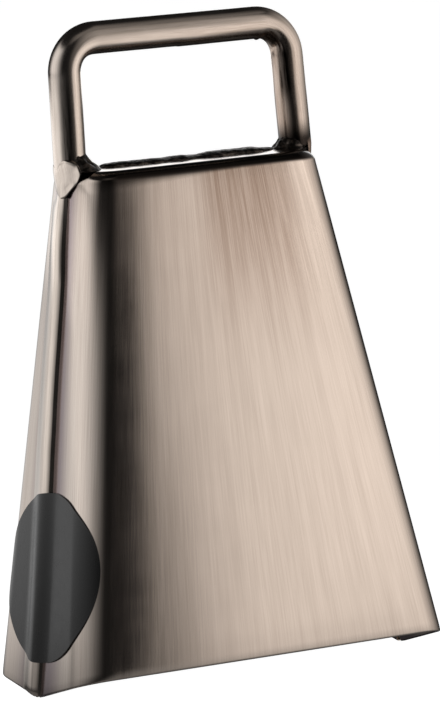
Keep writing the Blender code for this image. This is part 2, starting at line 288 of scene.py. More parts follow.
def black_scale_and_painted_shade(tree, u, v, start, full, stop, sink=None):
    """Share of black, used both for real weld scale and for painted dark reflection and shade, which starts,
    is full and stops at places along the grain. Where it thins, its start sinks by a drop between two places
    across the grain, and it fades out beyond the second."""
    ramps = [(v, stop + 1, stop, 0.0)]
    if sink:
        near, far, drop = sink
        fade, left = PAINTED_BAND_FADE
        start = add_node(tree, "MapRange", {}, {
            "Value": u, "From Min": near, "From Max": far,
            "To Min": start, "To Max": start - drop}).outputs[0]
        ramps.append((u, far - fade, far, left))
    return faded(tree, 1.0, ramps + [(v, start, full, 0.0)])


def seam_tint_and_painted_shade(tree, u, start, full):
    """Share of mauve heat colour beside the side seams, deepened into painted shade next to the seam bead, by
    the distance from the middle of either sheet's grain.
    """
    side = add_node(tree, "Math", {"operation": "WRAP"}, {0: u, 1: GRAIN_SHIFT / 2, 2: -GRAIN_SHIFT / 2})
    side = add_node(tree, "Math", {"operation": "ABSOLUTE"}, {0: side.outputs[0]})
    return faded(tree, 1.0, [(side.outputs[0], start, full, 0.0)])


def brushed_steel(name, light, dark, across, along, roughness, depth, patches=(), scale=None, tint=None):
    """Belt-brushed mild steel: a warm grey metal, with fine streaks along the brushing that
    smear reflections across it. The streaks are drawn two or three times as coarse as the real grit. Marks
    are
    placed on the grain, in millimetres: coloured patches, which are heat colour, plain brown and painted dark
    reflections; black, which is weld scale in places and painted dark reflection and shade in others; and a
    mauve tint, which is heat tint deepened into painted shade."""
    material, tree, shader = new_material(name)
    fine = grain_noise(tree, across, along, detail=3.0, roughness=0.6)
    broad = grain_noise(tree, BROAD_STREAK[0] * across, BROAD_STREAK[1] * along, detail=2.0)
    streaks = add_node(tree, "Mix", {}, {0: 0.4, 2: fine, 3: broad}).outputs[0]
    tone = add_node(tree, "ValToRGB", {}, {"Fac": streaks})
    low, high = tone.color_ramp.elements
    low.position, high.position = NOISE_LOW, NOISE_HIGH
    low.color, high.color = linear(dark), linear(light)
    colour = tone.outputs[0]
    grain = add_node(tree, "UVMap", {}, {}).outputs[0]
    u, v = add_node(tree, "SeparateXYZ", {}, {0: grain}).outputs[:2]
    marks = [("MULTIPLY", mark_colour, colour_and_painted_shade_patch(tree, grain, streaks, **patch)) for mark_colour, patch in patches]
    if scale:
        marks.append(("MIX", SCALE_AND_PAINTED_SHADE_BLACK, black_scale_and_painted_shade(tree, u, v, **scale)))
    if tint:
        marks.append(("MULTIPLY", SEAM_TINT_AND_PAINTED_SHADE, seam_tint_and_painted_shade(tree, u, *tint)))
    for blend, mark_colour, share in marks:
        colour = add_node(tree, "Mix", {"data_type": "RGBA", "blend_type": blend}, {
            0: share, 6: colour, 7: linear(mark_colour)}).outputs[2]
    blotches = grain_noise(tree, BLOTCH[0] * across, BLOTCH[1] * along, detail=2.0)
    wear = add_node(tree, "Mix", {}, {0: 0.5, 2: fine, 3: blotches}).outputs[0]
    gloss = add_node(tree, "MapRange", {}, {
        "Value": wear, "From Min": NOISE_LOW, "From Max": NOISE_HIGH,
        "To Min": roughness - GLOSS_SPREAD, "To Max": roughness + GLOSS_SPREAD})
    relief = add_node(tree, "Bump", {}, {"Height": streaks, "Distance": depth, "Strength": 0.5})
    tangent = add_node(tree, "Tangent", {"direction_type": "UV_MAP"}, {})
    shader.inputs["Metallic"].default_value = 1.0
    shader.inputs["Anisotropic"].default_value = BRUSHED_ANISOTROPY
    tree.links.new(colour, shader.inputs["Base Color"])
    tree.links.new(gloss.outputs[0], shader.inputs["Roughness"])
    tree.links.new(relief.outputs[0], shader.inputs["Normal"])
    tree.links.new(tangent.outputs[0], shader.inputs["Tangent"])
    return material


def shell_runs():
    """Distances of the mesh's columns from the middle of the face along the sheet, at half height."""
    points = [shell_point(place, TOP_Z / 2, 0.0) for place in shell_places()]
    runs = [0.0]
    for before, after in zip(points, points[1:]):
        runs.append(runs[-1] + (after - before).length / MM)
    return [run - runs[-1] / 2 for run in runs]


def half_shell(name, node, turn, material):
    """One folded half shell with its eased mouth edge, turned about the upright axis into its place."""
    places, profile = shell_places(), shell_profile()
    across = shell_runs()
    wall_top = TOP_Z - TOP_BEND
    rows, grain = [], []
    for inset, rise, climbed, above in profile:
        row = []
        for place in places:
            depth = inset + edge_roll(place, inset, rise, climbed)
            lip = shell_point(place, LIP_Z, depth)
            mouth_z = LIP_Z * -lip.y / (MOUTH_HALF_DEPTH - depth)
            z = (mouth_z + rise) * (1 - climbed) + wall_top * climbed + above
            point = shell_point(place, z, depth)
            point.z += TOP_FALL * point.y * above / TOP_BEND
            row.append(point)
        rows.append(row)
        grain.append([(run + turn / math.pi * GRAIN_SHIFT, point.z / MM + inset / MM)
                      for run, point in zip(across, row)])
    bm = bmesh.new()
    verts = skin(bm, rows, grain)
    paired = BEND_ROWS + WALL_ROWS
    for j in (0, -1):
        for i in range(paired):
            bm.faces.new((verts[i][j], verts[i + 1][j], verts[-2 - i][j], verts[-1 - i][j]))
        bm.faces.new([verts[i][j] for i in range(paired, len(verts) - paired)])
    lids = [bm.faces.new(verts[0]), bm.faces.new(verts[-1])]
    lids.append(bm.faces.new((verts[0][0], verts[0][-1], verts[-1][-1], verts[-1][0])))
    layer = bm.loops.layers.uv.verify()
    for loop in (loop for lid in lids for loop in lid.loops):
        loop[layer].uv = (loop.vert.co.x / MM, (loop.vert.co.z - loop.vert.co.y) / MM)
    bm.transform(Matrix.Rotation(turn, 4, "Z"))
    add_piece(name, bm, material, node)


bend_mm = (TOP_Z - TOP_BEND) / MM + 0.1  # where the sheet turns into the top bend
edge_mm = shell_runs()[-1]  # from the sheet's middle to its edge at a side seam
sheet_steel = brushed_steel(
    "belt_brushed_sheet_steel", light="#d0c4ba", dark="#bfb3a9", across=0.35, along=18.0,
    roughness=0.15, depth=0.003 * MM,
    # A plain brown, darker over the upper part of both sheets and most on the front face right of its middle.
    patches=[(BROWN_TONE, {"along": (bend_mm + 8, 8, 64), "across": (12, 9, 22), "beside": 0.25})],
    # A black band painted along the top bend for its dark reflection of the room above; it reaches lower
    # towards the left of the front face and then thins out.
    scale={"start": bend_mm, "full": bend_mm + 1, "stop": bend_mm + 5, "sink": (12, -35, 2.4)},
    # Mauve heat tint beside the side seams, deepened into painted shade next to the seam bead.
    tint=(edge_mm - 9.5, edge_mm - 2.5))
half_shell("bell_front", "front_shell", 0.0, sheet_steel)
half_shell("bell_back", "back_shell", math.pi, sheet_steel)


# Side seam welds
# Steel weld bead run up each narrow side where the flanges meet, then dressed with a flap disc: it rises
# gently from the higher flange to a rounded ridge and drops steeply to the lower one. Its gentle side runs
# out at the top.

BEAD_HEIGHT = 1.35 * MM
BEAD_CREST = 0.9 * MM  # from the seam to the ridge, over the higher flange
BEAD_RAMP = 6.5 * MM  # length of the gentle side
BEAD_SWEEP = 1.6  # power of the gentle side's rise, which starts it hollow
BEAD_ARCS = ((0, 30, 2.6), (30, 57, 1.8), (57, 71, 0.6))  # steep side: turns in degrees, radii in mm
BEAD_WALL = 1.0 * MM  # height of the straight wall below them
BEAD_FOOT_Z = 0.5 * MM
BEAD_END = 1.6 * MM  # length of its rounded lower end
BEAD_END_LOSS = 0.7  # how much that rounding takes off
BEAD_TOP_Z = TOP_Z - 5.2 * MM
BEAD_TOP_LENGTH = 12.0 * MM  # length below its upper end over which it was ground lower
BEAD_TOP_LOSS = 0.4  # share of its height that is ground away there
BEAD_RUN_OUT = 4.0 * MM  # length over which the gentle side runs out below the upper end
BEAD_SINK = 0.12 * MM  # how far its gentle foot dips into the flange
BEAD_DRIFT = 0.8 * MM  # how far it wanders over the lower flange
DRIFT_OUT_Z, DRIFT_OUT_LENGTH = 70.0 * MM, 30.0 * MM
DRIFT_BACK_Z, DRIFT_BACK_LENGTH = 98.0 * MM, 14.0 * MM
BEAD_UNEVEN, BEAD_UNEVEN_PITCH = 0.12 * MM, 9.0 * MM
BEAD_ROWS, BEAD_RAMP_STEPS, BEAD_ARC_STEPS = 160, 12, 8


def bead_section():
    """Section of a side bead from its gentle foot over the ridge to its steep foot, as (distance from the
    seam towards the lower flange, height above the higher flange)."""
    section = []
    for share in shares(BEAD_RAMP_STEPS):
        height = BEAD_HEIGHT * math.sin(math.pi / 2 * share) ** BEAD_SWEEP
        section.append((BEAD_RAMP * (share - 1) - BEAD_CREST, height))
    for start, stop, radius in BEAD_ARCS:
        across, height = section[-1]
        for share in shares(BEAD_ARC_STEPS)[1:]:
            first, turn = math.radians(start), math.radians(start + (stop - start) * share)
            section.append((across + radius * MM * (math.sin(turn) - math.sin(first)),
                            height - radius * MM * (math.cos(first) - math.cos(turn))))
    across, height = section[-1]
    for share in (0.5, 1.0):
        section.append((across + BEAD_WALL / math.tan(turn) * share, height - BEAD_WALL * share))
    return section


def side_seam(name, node, side, material):
    """Dressed bead up one narrow side, slightly uneven along its length and ground lower at the top."""
    section = bead_section()
    rows, grain = [], []
    for share in shares(BEAD_ROWS):
        z = BEAD_FOOT_Z + (BEAD_TOP_Z - BEAD_FOOT_Z) * share
        end = min((z - BEAD_FOOT_Z) / BEAD_END, 1.0)
        shrink = math.sqrt(1 - BEAD_END_LOSS * (1 - end) ** 2)
        shrink *= 1 - BEAD_TOP_LOSS * ease((z - BEAD_TOP_Z) / BEAD_TOP_LENGTH + 1)
        drift = ease((z - DRIFT_OUT_Z) / DRIFT_OUT_LENGTH) - ease((z - DRIFT_BACK_Z) / DRIFT_BACK_LENGTH)
        drift *= BEAD_DRIFT
        uneven = BEAD_UNEVEN * noise.noise((side, 0.0, z / BEAD_UNEVEN_PITCH))
        row = []
        for i, (across, height) in enumerate(section):
            sink = BEAD_SINK if i == 0 else 0.0
            if across < -BEAD_CREST:
                fade = ease((z - BEAD_TOP_Z) / BEAD_RUN_OUT + 1) * ease(-(across + BEAD_CREST) / BEAD_RUN_OUT)
                height *= 1 - fade
                sink += BEAD_SINK * fade
            out = flange_x(abs(across + drift), z, 0.0) + height * shrink - sink
            lift = LIP_Z * abs(across) / MOUTH_HALF_DEPTH * (1 - share)
            row.append((side * out, side * (across + drift + uneven), z + lift))
        rows.append(row)
        grain.append([(across / MM, z / MM) for across, height in section])
    bm = bmesh.new()
    verts = skin(bm, rows, grain)
    bm.faces.new(verts[0])
    bm.faces.new(verts[-1])
    for low, high in zip(verts, verts[1:]):
        bm.faces.new((low[0], low[-1], high[-1], high[0]))
    add_piece(name, bm, material, node)


dressed_weld = brushed_steel("dressed_steel_weld", light="#d0c4ba", dark="#bbb0a6", across=0.5, along=9.0,
                             roughness=0.16, depth=0.006 * MM)
side_seam("left_seam", "left_seam_weld", -1, dressed_weld)
side_seam("right_seam", "right_seam_weld", 1, dressed_weld)


# Handle
# Round steel bar, 8 mm thick, bent cold to a U and linished along its length. The inner side of each corner
# is squeezed, and the right one has a pinch, a ridge and a flat from the bending tool. Welding browned its
# right leg and blackened the foot. A dark stripe painted on the front of the left leg above its foot, and a
# near-black patch painted on the inner front of the right corner, stand for dark reflections.

ROD_RADIUS = 4.0 * MM
LEG_FOOT_X = 31.65 * MM
LEG_LEAN_IN = 0.65 * MM
HANDLE_RISE = 31.5 * MM
HANDLE_BEND = 8.6 * MM
BAR_SLOPE = 0.3 * MM  # the bar's right end sits lower than its left one
FOOT_Z = TOP_Z + 0.3 * MM
BEND_HEADINGS = (0.01, 1.5)  # headings that lie in a bend, in radians
CORNER_SQUEEZE = 0.25 * MM
RIDGE_HEIGHT, PINCH_DEPTH, FLAT_DEPTH = 0.45 * MM, 0.4 * MM, 0.6 * MM
FLAT_FULL_X = 24.0 * MM  # the flat grows from the bar's middle to here
ROD_UNEVEN, ROD_UNEVEN_PITCH = 0.02 * MM, 5.0 * MM
ROD_SIDES, ROD_STEP = 56, 0.8 * MM


def handle_path():
    """Rod centreline from the left foot to the right one, as evenly spaced (point, heading)."""
    lean = math.atan(LEG_LEAN_IN / HANDLE_RISE)
    heading = math.pi / 2 - lean
    bar_z = TOP_Z + HANDLE_RISE
    setback = HANDLE_BEND * math.tan(heading / 2)
    corner_x = -(LEG_FOOT_X - LEG_LEAN_IN)
    start = Vector((corner_x - setback * math.cos(heading), 0.0, bar_z - setback * math.sin(heading)))
    foot = Vector((-LEG_FOOT_X, 0.0, TOP_Z))
    foot += (start - foot).normalized() * (FOOT_Z - TOP_Z)
    centre = start + Vector((HANDLE_BEND * math.sin(heading), 0.0, -HANDLE_BEND * math.cos(heading)))
    leg_steps = round((start - foot).length / ROD_STEP)
    bend_steps = round(HANDLE_BEND * heading / ROD_STEP)
    half_bar = -(corner_x + setback)
    bar_steps = round(half_bar / ROD_STEP)
    path = [(foot.lerp(start, share), heading) for share in shares(leg_steps)]
    for share in shares(bend_steps)[1:]:
        turn = heading * (1 - share)
        path.append((centre + HANDLE_BEND * Vector((-math.sin(turn), 0.0, math.cos(turn))), turn))
    bar_start = path[-1][0]
    path += [(bar_start.lerp(Vector((0.0, 0.0, bar_z)), share), 0.0) for share in shares(bar_steps)[1:]]
    mirrored = [(Vector((-point.x, 0.0, point.z)), -turn) for point, turn in reversed(path[:-1])]
    return path + mirrored


def bump_at(value, middle, width):
    """Smooth hump of height one round a middle value."""
    return math.exp(-((value - middle) / width) ** 2)


def tool_marks(turn, heading, x):
    """Change of the rod's radius from the bending tool, at a turn round the rod and a heading along it. The
    ridge's foot, 0.1 mm thick, runs on under the bar's right half and ends in a step at its middle."""
    ridge = RIDGE_HEIGHT * bump_at(turn, math.pi, 0.7) * bump_at(heading, -0.12, 0.1)
    pinch = PINCH_DEPTH * bump_at(turn, 1.1 * math.pi, 0.35) * bump_at(heading, -1.15, 0.22)
    flat = FLAT_DEPTH * bump_at(turn, 1.22 * math.pi, 0.6) * bump_at(heading, -0.5, 0.7)
    return ridge - pinch - flat * ease(x / FLAT_FULL_X)


def handle_rod(name, node, material):
    """Bent rod with squeezed inner corners. The inner side of the U is at half a turn."""
    path = handle_path()
    rows, grain, run = [], [], 0.0
    for i, (point, heading) in enumerate(path):
        if i:
            run += (point - path[i - 1][0]).length
        in_bend = BEND_HEADINGS[0] < abs(heading) < BEND_HEADINGS[1]
        squeeze = math.sin(2 * abs(heading)) ** 2 if in_bend else 0.0
        sag = BAR_SLOPE * (point.x / LEG_FOOT_X + 1) / 2 * (point.z - TOP_Z) / HANDLE_RISE
        row = []
        for turn in (2 * math.pi * share for share in shares(ROD_SIDES)[:-1]):
            inner = max(-math.cos(turn), 0.0) ** 2
            radius = ROD_RADIUS - CORNER_SQUEEZE * squeeze * inner
            if point.x > 0:
                radius += tool_marks(turn, heading, point.x)
            spot = (point.x / ROD_UNEVEN_PITCH, 3 * turn / math.pi, point.z / ROD_UNEVEN_PITCH)
            radius += ROD_UNEVEN * noise.noise(spot)
            rise = radius * math.cos(turn)
            row.append((point.x - rise * math.sin(heading), radius * math.sin(turn),
                        point.z + rise * math.cos(heading) - sag))
        rows.append(row)
        grain.append([(share * 2 * math.pi * ROD_RADIUS / MM, run / MM) for share in shares(ROD_SIDES)])
    bm = bmesh.new()
    verts = skin(bm, rows, grain, wrap=True)
    bm.faces.new(verts[0])
    bm.faces.new(verts[-1])
    add_piece(name, bm, material, node)


rod_points = [point for point, heading in handle_path()]
rod_mm = sum((after - before).length for before, after in zip(rod_points, rod_points[1:])) / MM
rod_steel = brushed_steel(
    "linished_round_steel", light="#cfc4bb", dark="#bbb0a6", across=0.6, along=10.0,
    roughness=0.2, depth=0.003 * MM,
    patches=[(BROWN_TONE, {"along": (rod_mm, 7.5, 75), "across": (12.6, 2.5, 8), "beside": 0.25}),
             # Painted dark reflection: a thin dark stripe down the front of the left leg, above its foot.
             ("#241f1c", {"along": (0, 9, 30), "across": (21.25, 0.5, 2.0), "beside": 0.0}),
             # Painted dark reflection: a near-black patch on the inner front of the right corner.
             ("#120f0e", {"along": (rod_mm - 21, 5, 12), "across": (15.6, 0.9, 1.9), "beside": 0.0})],
    scale={"start": rod_mm - 7.5, "full": rod_mm - 1.5, "stop": rod_mm + 9})
handle_rod("handle", "handle_rod", rod_steel)


# Rough welds on the top
# Weld metal left as it was laid: a bead along the top seam and a fillet round the inner side of each
# leg's foot, lumpy, rippled and black with scale, with bare glints on the high spots.

TOP_BEAD_WIDTH = 7.4 * MM
TOP_BEAD_HEIGHT = 1.1 * MM
TOP_BEAD_ROOT = 0.3 * MM  # how far its edges lie below the top
TOP_BEAD_LEVEL, TOP_BEAD_SWELL = 0.78, 0.45  # its usual share of the height, and how far swells change that
TOP_BEAD_WAVER = 0.2  # how far its width changes
TOP_BEAD_END_LOSS = 0.8  # how much the rounding of its ends takes off
TOP_BEAD_ROWS, TOP_BEAD_STEPS = 180, 24
RIPPLE_PITCH = 5.2 * MM
SWELL_PITCH = 14.0 * MM
LUMP_LENGTH, LUMP_WIDTH = 4.0 * MM, 2.0 * MM
LUMP_SHARE = 0.14  # how far small lumps change a weld's height
FILLET_LAP = 0.6 * MM  # how far its upper edge reaches into the rod
FILLET_ROOT = 0.35 * MM  # how far its outer edge lies below the top
FILLET_UNDER = 0.1 * MM  # how far its closing row lies below the top
FILLET_LUMP = 0.4 * MM
FILLET_WAVER = 0.12  # how far its length changes
FILLET_HOLLOW = 1.3  # power of its fall, which makes it hollow
FILLET_SHORT_BACK = math.radians(30)  # how much sooner it runs out behind the leg
FILLET_STEPS, FILLET_SPOKES = 16, 120


def scale_black_weld(name):
    """Uncleaned weld metal: black scale with a low gloss, broken by grey glints on the ripples."""
    material, tree, shader = new_material(name)
    spots = grain_noise(tree, 1.6, 1.6, detail=4.0, roughness=0.6)
    pits = grain_noise(tree, 0.45, 0.45, detail=3.0)
    tone = add_node(tree, "ValToRGB", {}, {"Fac": spots})
    low, high = tone.color_ramp.elements
    low.position, high.position = 0.45, 0.72
    low.color, high.color = linear("#2a2725"), linear("#7d746d")
    gloss = add_node(tree, "MapRange", {}, {
        "Value": spots, "From Min": NOISE_LOW, "From Max": NOISE_HIGH, "To Min": 0.55, "To Max": 0.28})
    rough = add_node(tree, "Mix", {}, {0: 0.35, 2: spots, 3: pits}).outputs[0]
    relief = add_node(tree, "Bump", {}, {"Height": rough, "Distance": 0.25 * MM, "Strength": 0.6})
    shader.inputs["Metallic"].default_value = 1.0
    tree.links.new(tone.outputs[0], shader.inputs["Base Color"])
    tree.links.new(gloss.outputs[0], shader.inputs["Roughness"])
    tree.links.new(relief.outputs[0], shader.inputs["Normal"])
    return material


def top_seam(name, node, material):
    """Rough bead along the middle of the top, from one leg to the other, in long overlapping lumps."""
    low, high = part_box(node)
    rows, grain = [], []
    for share in shares(TOP_BEAD_ROWS):
        x = low.x + (high.x - low.x) * share
        swell = noise.fractal((x / SWELL_PITCH, 3.0, 0.5), 0.8, 2.0, 3)
        end = math.sqrt(1 - TOP_BEAD_END_LOSS * abs(2 * share - 1) ** 8)
        width = TOP_BEAD_WIDTH * (1 + TOP_BEAD_WAVER * noise.noise((x / RIPPLE_PITCH, 1.0, 9.0))) * end
        height = TOP_BEAD_HEIGHT * min(TOP_BEAD_LEVEL + TOP_BEAD_SWELL * swell, 1.0) * end
        row = []
        for step in shares(TOP_BEAD_STEPS):
            turn = math.pi * step
            across = -width / 2 * math.cos(turn)
            lump = noise.fractal((x / LUMP_LENGTH, across / LUMP_WIDTH, 4.0), 0.9, 2.0, 2)
            out = (height + TOP_BEAD_ROOT) * math.sin(turn) * (1 + LUMP_SHARE * lump) - TOP_BEAD_ROOT
            row.append((x, across, TOP_Z + min(out, TOP_BEAD_HEIGHT)))
        rows.append(row)
        grain.append([(8 * step, x / MM) for step in shares(TOP_BEAD_STEPS)])
    bm = bmesh.new()
    verts = skin(bm, rows, grain)
    bm.faces.new(verts[0])
    bm.faces.new(verts[-1])
    for low_row, high_row in zip(verts, verts[1:]):
        bm.faces.new((low_row[0], low_row[-1], high_row[-1], high_row[0]))
    add_piece(name, bm, material, node, sharp=70)


def leg_fillet(name, node, side, inner, front, height, ends, material):
    """Fillet of weld round a leg's foot, reaching in along the top and out to its front and back. It runs
    out on the overhang, between the two angles of ends. Its first row closes it below the upper edge."""
    start, stop = (math.radians(angle) for angle in ends)
    rows, grain = [], []
    for step in [-0.2] + shares(FILLET_STEPS):
        reach = max(step, 0.0)
        row, places = [], []
        for share in shares(FILLET_SPOKES):
            turn = 2 * math.pi * share
            around = min(turn, 2 * math.pi - turn + FILLET_SHORT_BACK)
            kept = 1 - ease((around - start) / (stop - start))
            spot = (2.2 * math.cos(turn), 2.2 * math.sin(turn), 1.8 * step + 5 * side)
            lump = noise.fractal(spot, 0.9, 2.0, 2)
            length = (front + (inner - front) * max(math.cos(turn), 0.0)) * (1 + FILLET_WAVER * lump)
            out = ROD_RADIUS - FILLET_LAP + (length + FILLET_LAP) * kept * reach
            if step < 0:
                up = -FILLET_UNDER
            else:
                up = height * kept * (1 - reach) ** FILLET_HOLLOW * (1 + LUMP_SHARE * lump)
                up = max(up + FILLET_LUMP * kept * lump * math.sin(math.pi * reach), 0.0)
            row.append((side * (LEG_FOOT_X - out * math.cos(turn)), -out * math.sin(turn),
                        TOP_Z + up - FILLET_ROOT * reach))
            places.append((6 * step, turn * 4))
        rows.append(row[:-1])
        grain.append(places)
    bm = bmesh.new()
    verts = skin(bm, rows, grain, wrap=True)
    near, far = verts[0], verts[-1]
    for i in range(FILLET_SPOKES):
        k = (i + 1) % FILLET_SPOKES
        bm.faces.new((near[k], near[i], far[i], far[k]))
    add_piece(name, bm, material, node, sharp=70)


rough_weld = scale_black_weld("uncleaned_weld_scale")
top_seam("top_seam", "top_seam_weld", rough_weld)
leg_fillet("left_leg_fillet", "left_leg_weld", -1, inner=4.2 * MM, front=3.6 * MM, height=4.6 * MM,
           ends=(82, 128), material=rough_weld)
leg_fillet("right_leg_fillet", "right_leg_weld", 1, inner=2.6 * MM, front=2.2 * MM, height=3.2 * MM,
           ends=(56, 106), material=rough_weld)


# Toe welds
# Weld metal that fills under each leg's overhang and was ground to a flat tongue, flush with the rod and
# lapping on to the narrow side. The left one has an open line along its front edge, painted black as the
# shade in the gap; the right one is narrower and browned all over.

TOE_OUT = LEG_FOOT_X + 3.95 * MM
TOE_TAPER = 0.07
TOE_CURVE = 85.0  # per metre, how fast the ground facet falls away to the front and the back
TOE_RIM = 0.4 * MM  # how far its rim lies in the flange
TOE_LEAST = 0.5 * MM  # least height of the facet above the rim
TOE_NARROW_LOSS = 1.0 * MM  # how much lower a narrow tongue is, for the whole of its spread
TOE_EDGE = 0.85 * MM  # height of its front edge above the sunk rim
TOE_FRONT_WIDTH, TOE_FRONT_TOP, TOE_FRONT_FALL = 3.0 * MM, 1.0 * MM, 4.0 * MM  # where that edge comes in
TOE_FLAT_RING = 0.45  # rings up to this size stay on the facet
TOE_UNEVEN, TOE_UNEVEN_PITCH = 0.04 * MM, 2.0 * MM
FLUSH_HALF_WIDTH, FLUSH_EDGE = 3.4 * MM, 1.6 * MM  # where the tongue is ground flush with the rod
FLUSH_TOP, FLUSH_SLOPE = 2.6 * MM, 0.12  # height over the top where it meets the rod, and its slope out below
OPEN_LINE = 60.0  # millimetres by which the grain skips at the open line, out to the black painted there as the gap's shade
OPEN_LINE_LIFT = 0.7  # rings that are raised less than this lie in the line
TOE_OUTLINE_MM = ((0.6, 1.6), (-0.7, 1.3), (-2.2, 2.9), (-4.2, 2.5), (-5.9, 1.2), (-6.5, -0.6),
                  (-5.9, -2.2), (-4.6, -3.7), (-2.9, -5.1), (-1.5, -6.3), (0.2, -6.6), (1.8, -5.2),
                  (3.4, -3.6), (4.4, -1.6), (4.2, 0.2), (2.8, 1.9))
TOE_OUTLINE_STEPS = 8
TOE_RINGS = ((1.0, 0.0), (0.99, 0.6), (0.965, 0.85), (0.92, 0.97),  # size of a ring, and how far it is raised
             (0.85, 1.0), (0.65, 1.0), (0.5, 1.0), (0.25, 1.0))


def closed_curve(points, steps):
    """Smooth closed curve through a few points."""
    curve = []
    count = len(points)
    for i in range(count):
        a, b, c, d = (Vector(points[(i + k) % count]) for k in (-1, 0, 1, 2))
        for t in shares(steps)[:-1]:
            curve.append(0.5 * (2 * b + (c - a) * t + (2 * a - 5 * b + 4 * c - d) * t ** 2
                                + (3 * b - a - 3 * c + d) * t ** 3))
    return curve


def toe_facet(y, up, scale, spread, wall):
    """Distance of the ground facet from the bell's middle, never closer to the wall than its least height."""
    facet = TOE_OUT - TOE_NARROW_LOSS * (1 - spread) - TOE_TAPER * max(-up, 0.0) - TOE_CURVE * y ** 2
    facet = max(facet, wall + TOE_LEAST)
    rod = LEG_FOOT_X + math.sqrt(max(ROD_RADIUS ** 2 - y ** 2, 0.0))
    flush = ease((FLUSH_HALF_WIDTH - abs(y)) / FLUSH_EDGE)
    facet -= flush * max(facet - rod - FLUSH_SLOPE * (FLUSH_TOP - up), 0.0)
    front = ease(-y / TOE_FRONT_WIDTH) * ease((TOE_FRONT_TOP - up) / TOE_FRONT_FALL)
    front *= ease((scale - TOE_FLAT_RING) / TOE_FLAT_RING)
    return facet - front * max(facet - wall - TOE_EDGE, 0.0)


def toe_tongue(name, node, side, spread, material):
    """Ground tongue of weld over the seam under one leg, wider or narrower by its spread."""
    edge = closed_curve(TOE_OUTLINE_MM, TOE_OUTLINE_STEPS)
    middle = sum(edge, Vector((0.0, 0.0))) / len(edge)
    rows, grain = [], []
    for scale, lift in TOE_RINGS:
        row = []
        for point in edge:
            y, up = (middle + (point - middle) * scale) * MM
            y *= spread
            z = TOP_Z + up
            wall = flange_x(y, min(z, TOP_Z - TOP_BEND), 0.0) - TOE_RIM
            facet = toe_facet(y, up, scale, spread, wall)
            facet += TOE_UNEVEN * noise.noise((y / TOE_UNEVEN_PITCH, up / TOE_UNEVEN_PITCH, side))
            row.append((side * (wall + (facet - wall) * lift), y, z))
        rows.append(row)
        line = OPEN_LINE if lift < OPEN_LINE_LIFT else 0.0
        grain.append([(point.x * scale, point.y * scale + line * ease(-point.x - 0.5) * ease(-point.y - 0.5))
                      for point in edge + edge[:1]])
    bm = bmesh.new()
    verts = skin(bm, rows, grain, wrap=True)
    bm.faces.new(verts[0])
    bm.faces.new(verts[-1])
    add_piece(name, bm, material, node)


# Its black is painted shade, laid only in the open line along the left tongue's front edge.
toe_weld = brushed_steel("dressed_steel_toe_weld", light="#d0c4ba", dark="#bbb0a6", across=0.5, along=9.0,
                         roughness=0.16, depth=0.006 * MM, scale={"start": 25, "full": 35, "stop": 80})
toe_tongue("left_toe", "left_toe_weld", -1, 1.0, toe_weld)
browned_weld = brushed_steel("heat_browned_steel_weld", light="#75675e", dark="#5c514a", across=0.5,
                             along=9.0, roughness=0.24, depth=0.008 * MM)
toe_tongue("right_toe", "right_toe_weld", 1, 0.65, browned_weld)


# Side label
# Round label of black satin vinyl film, stuck over the left side and pressed down across the seam bead
# and round both side bends.

LABEL_RADIUS = 20.3 * MM
LABEL_Z = LIP_Z + 24.0 * MM
LABEL_OFFSET = 2.0 * MM  # towards the front
LABEL_THICKNESS = 0.25 * MM
LABEL_UNDER, LABEL_FACE = 0.1 * MM, 0.15 * MM + LABEL_THICKNESS  # its two sides, above the sheet
LABEL_DRAPE = 5.0 * MM  # how far ahead of the seam bead's ridge the film bridges down to the front flange
LABEL_RINGS, LABEL_SPOKES = 36, 144


def label_point(along, z, lift):
    """Point over the left side, a distance along its outline from the seam (front positive)."""
    flange = flange_reach(z, 0.0)
    run = abs(along)
    bend = SIDE_BEND * (math.pi / 2 - FACE_EASE - side_crown(z))
    if run < flange:
        place = 3 - max(run - SEAM_HALF_GAP, 0.0) / (flange - SEAM_HALF_GAP)
    else:
        place = max(2 - (run - flange) / bend, 1.0)
    if along > 0:
        point = shell_point(-place, z, -lift)
        point.x -= seam_step(run, z) * math.cos(math.pi / 2 * min(run / LABEL_DRAPE, 1.0)) ** 2
    else:
        point = Matrix.Rotation(math.pi, 3, "Z") @ shell_point(place, z, -lift)
    point.x += max(run - flange - bend, 0.0)
    if run < SEAM_HALF_GAP:
        point.y = -along
    ridge = along + BEAD_CREST
    width = LABEL_DRAPE if ridge > 0 else BEAD_RAMP
    point.x -= BEAD_HEIGHT * math.cos(math.pi / 2 * min(abs(ridge) / width, 1.0)) ** 2
    return point


def satin_vinyl(name):
    """Black vinyl film with a satin face: a soft grey sheen, faint mottling and a few fine scuffs."""
    material, tree, shader = new_material(name)
    mottle = grain_noise(tree, 2.5, 2.5, detail=3.0)
    scuffs = grain_noise(tree, 0.25, 9.0, detail=2.0)
    wear = add_node(tree, "Mix", {}, {0: 0.4, 2: mottle, 3: scuffs}).outputs[0]
    gloss = add_node(tree, "MapRange", {}, {
        "Value": wear, "From Min": NOISE_LOW, "From Max": NOISE_HIGH, "To Min": 0.22, "To Max": 0.28})
    relief = add_node(tree, "Bump", {}, {"Height": mottle, "Distance": 0.01 * MM, "Strength": 0.3})
    shader.inputs["Base Color"].default_value = linear("#0d0d0d")
    shader.inputs["Specular IOR Level"].default_value = 0.4
    tree.links.new(gloss.outputs[0], shader.inputs["Roughness"])
    tree.links.new(relief.outputs[0], shader.inputs["Normal"])
    return material


